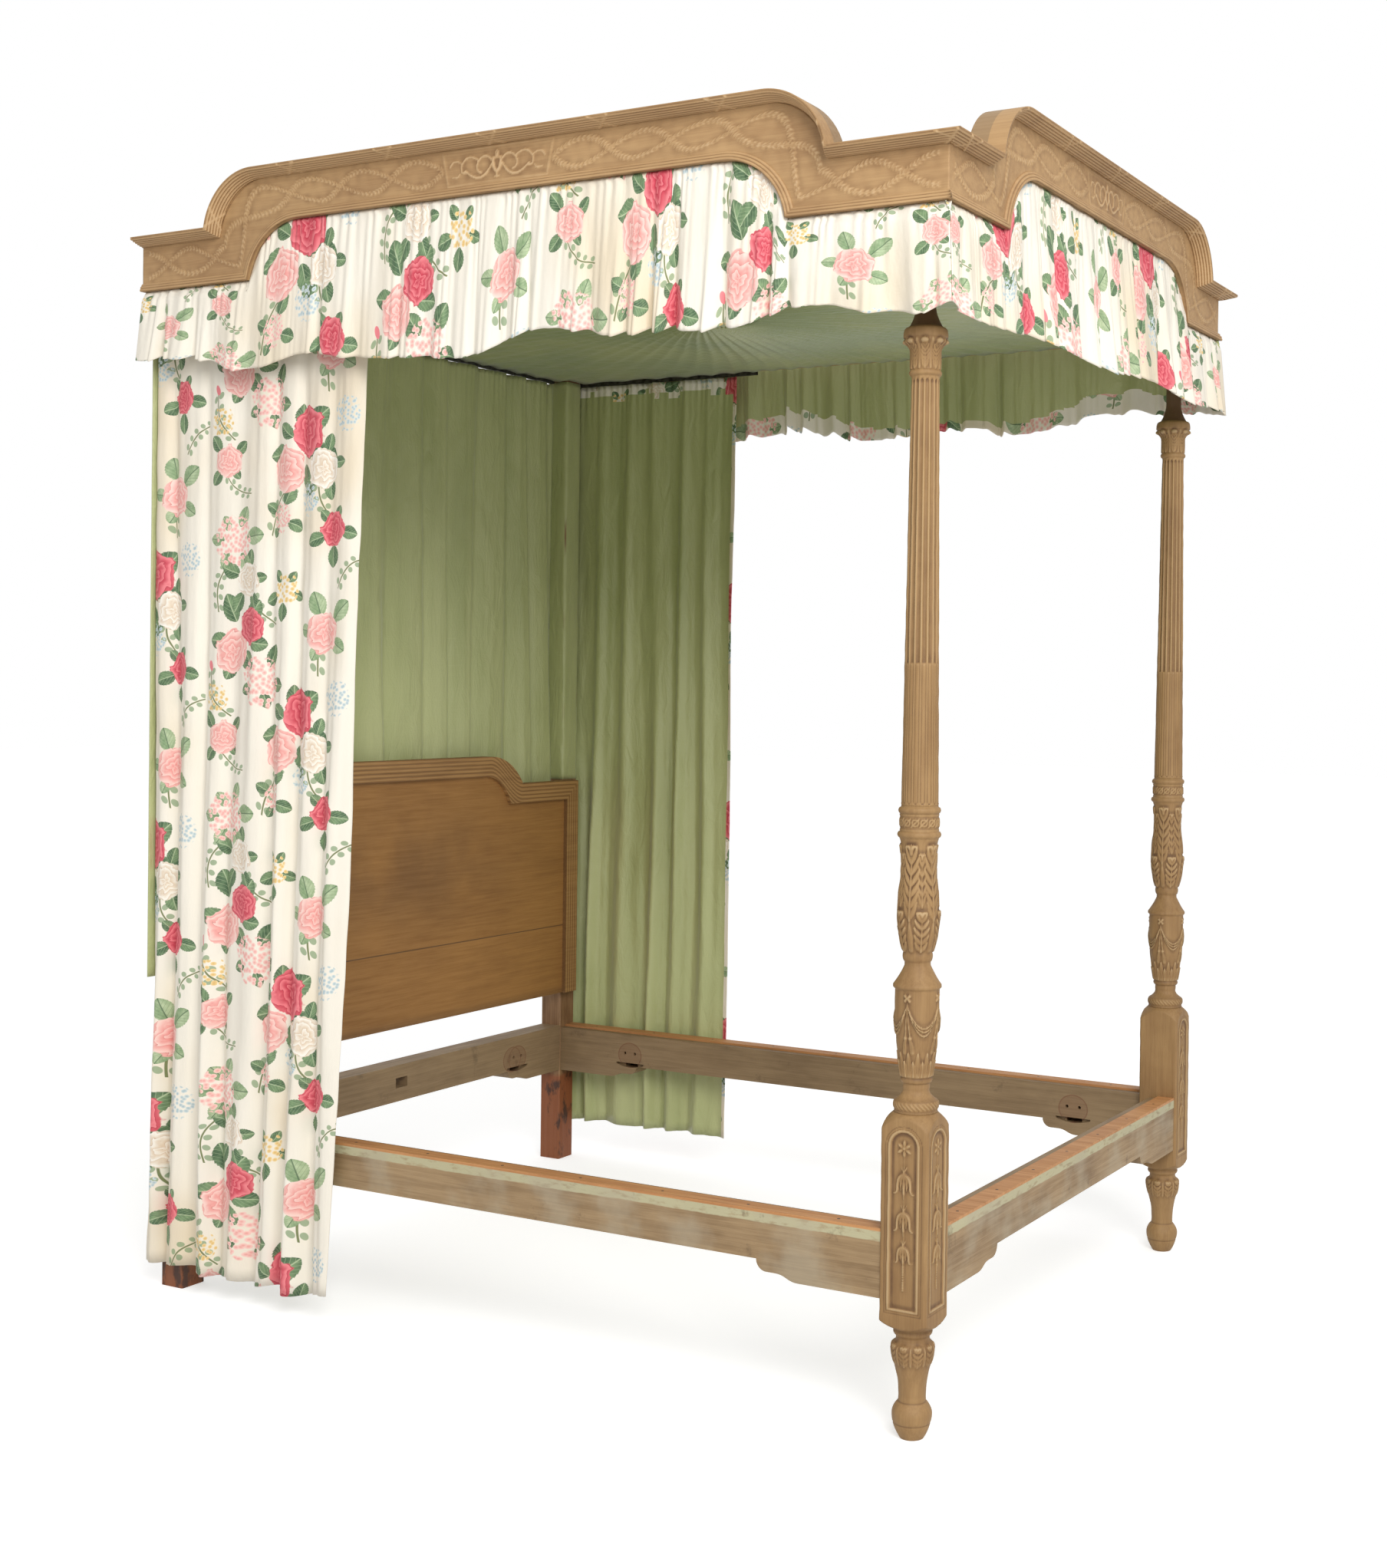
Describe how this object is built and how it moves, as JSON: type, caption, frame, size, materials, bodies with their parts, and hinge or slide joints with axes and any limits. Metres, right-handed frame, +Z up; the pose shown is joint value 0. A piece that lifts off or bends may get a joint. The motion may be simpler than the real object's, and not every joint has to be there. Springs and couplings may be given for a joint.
{
  "type": "canopy bed",
  "caption": "Four-post canopy bed with turned foot posts, arched carved cornice, pleated tester lining, valances, sliding side curtains, head cloth and open rail frame.",
  "frame": {"origin": "centre of the bed's footprint at floor level", "axes": "+Z up, +Y towards the head of the bed, +X to the right seen from the foot"},
  "size_m": [1.786, 2.21, 2.689],
  "materials": {
    "carved_wood": "stripped and bleached, carved",
    "plain_post_wood": "worn, reddish",
    "headboard_wood": "waxed ochre brown",
    "rail_wood": "grey-brown, unpolished",
    "strip_wood": "new lath",
    "tester_wood": "sawn",
    "green_silk": "soft sheen",
    "chintz": "printed cotton with flowers, green silk lining",
    "track_metal": "black",
    "brass": "dull",
    "steel": "dull, aged"
  },
  "bodies": {
    "frame": {"bed_bolts": "steel", "bolt_nuts": "steel", "corner_blocks": "tester_wood", "cornice_board_foot": "carved_wood", "cornice_board_left": "carved_wood", "cornice_board_right": "carved_wood", "cornice_screws": "steel", "crown_moulding_foot": "carved_wood", "crown_moulding_left": "carved_wood", "crown_moulding_right": "carved_wood", "curtain_hooks_head": "brass", "curtain_track_head": "track_metal", "curtain_track_left": "track_metal", "curtain_track_right": "track_metal", "foot_post_left": "carved_wood", "foot_post_right": "carved_wood", "foot_rail": "rail_wood", "head_cloth": "green_silk", "head_post_left": "plain_post_wood", "head_post_right": "plain_post_wood", "head_rail": "rail_wood", "headboard_battens": "headboard_wood", "headboard_lower_board": "headboard_wood", "headboard_moulding": "headboard_wood", "headboard_screws": "steel", "headboard_upper_board": "headboard_wood", "lower_moulding_foot": "carved_wood", "lower_moulding_left": "carved_wood", "lower_moulding_right": "carved_wood", "post_pins": "tester_wood", "post_sleeve_left": "green_silk", "post_sleeve_right": "green_silk", "rail_strip_foot": "strip_wood", "rail_strip_left": "strip_wood", "rail_strip_right": "strip_wood", "side_rail_left": "rail_wood", "side_rail_right": "rail_wood", "strip_nails": "steel", "tester_foot_rail": "tester_wood", "tester_head_rail": "tester_wood", "tester_laths": "tester_wood", "tester_lining": "green_silk", "tester_rosette": "green_silk", "tester_side_rail_left": "tester_wood", "tester_side_rail_right": "tester_wood", "valance_foot": "chintz", "valance_left": "chintz", "valance_right": "chintz"},
    "curtain_left_body": {"curtain_left": "chintz", "curtain_hooks_left": "brass"},
    "curtain_right_body": {"curtain_right": "chintz", "curtain_hooks_right": "brass"}
  },
  "joints": [
    {"name": "curtain_left_slide", "type": "slide", "parent": "frame", "child": "curtain_left_body", "axis": [0, -1, 0], "range_m": [0, 0.065]},
    {"name": "curtain_right_slide", "type": "slide", "parent": "frame", "child": "curtain_right_body", "axis": [0, -1, 0], "range_m": [0, 0.065]}
  ]
}
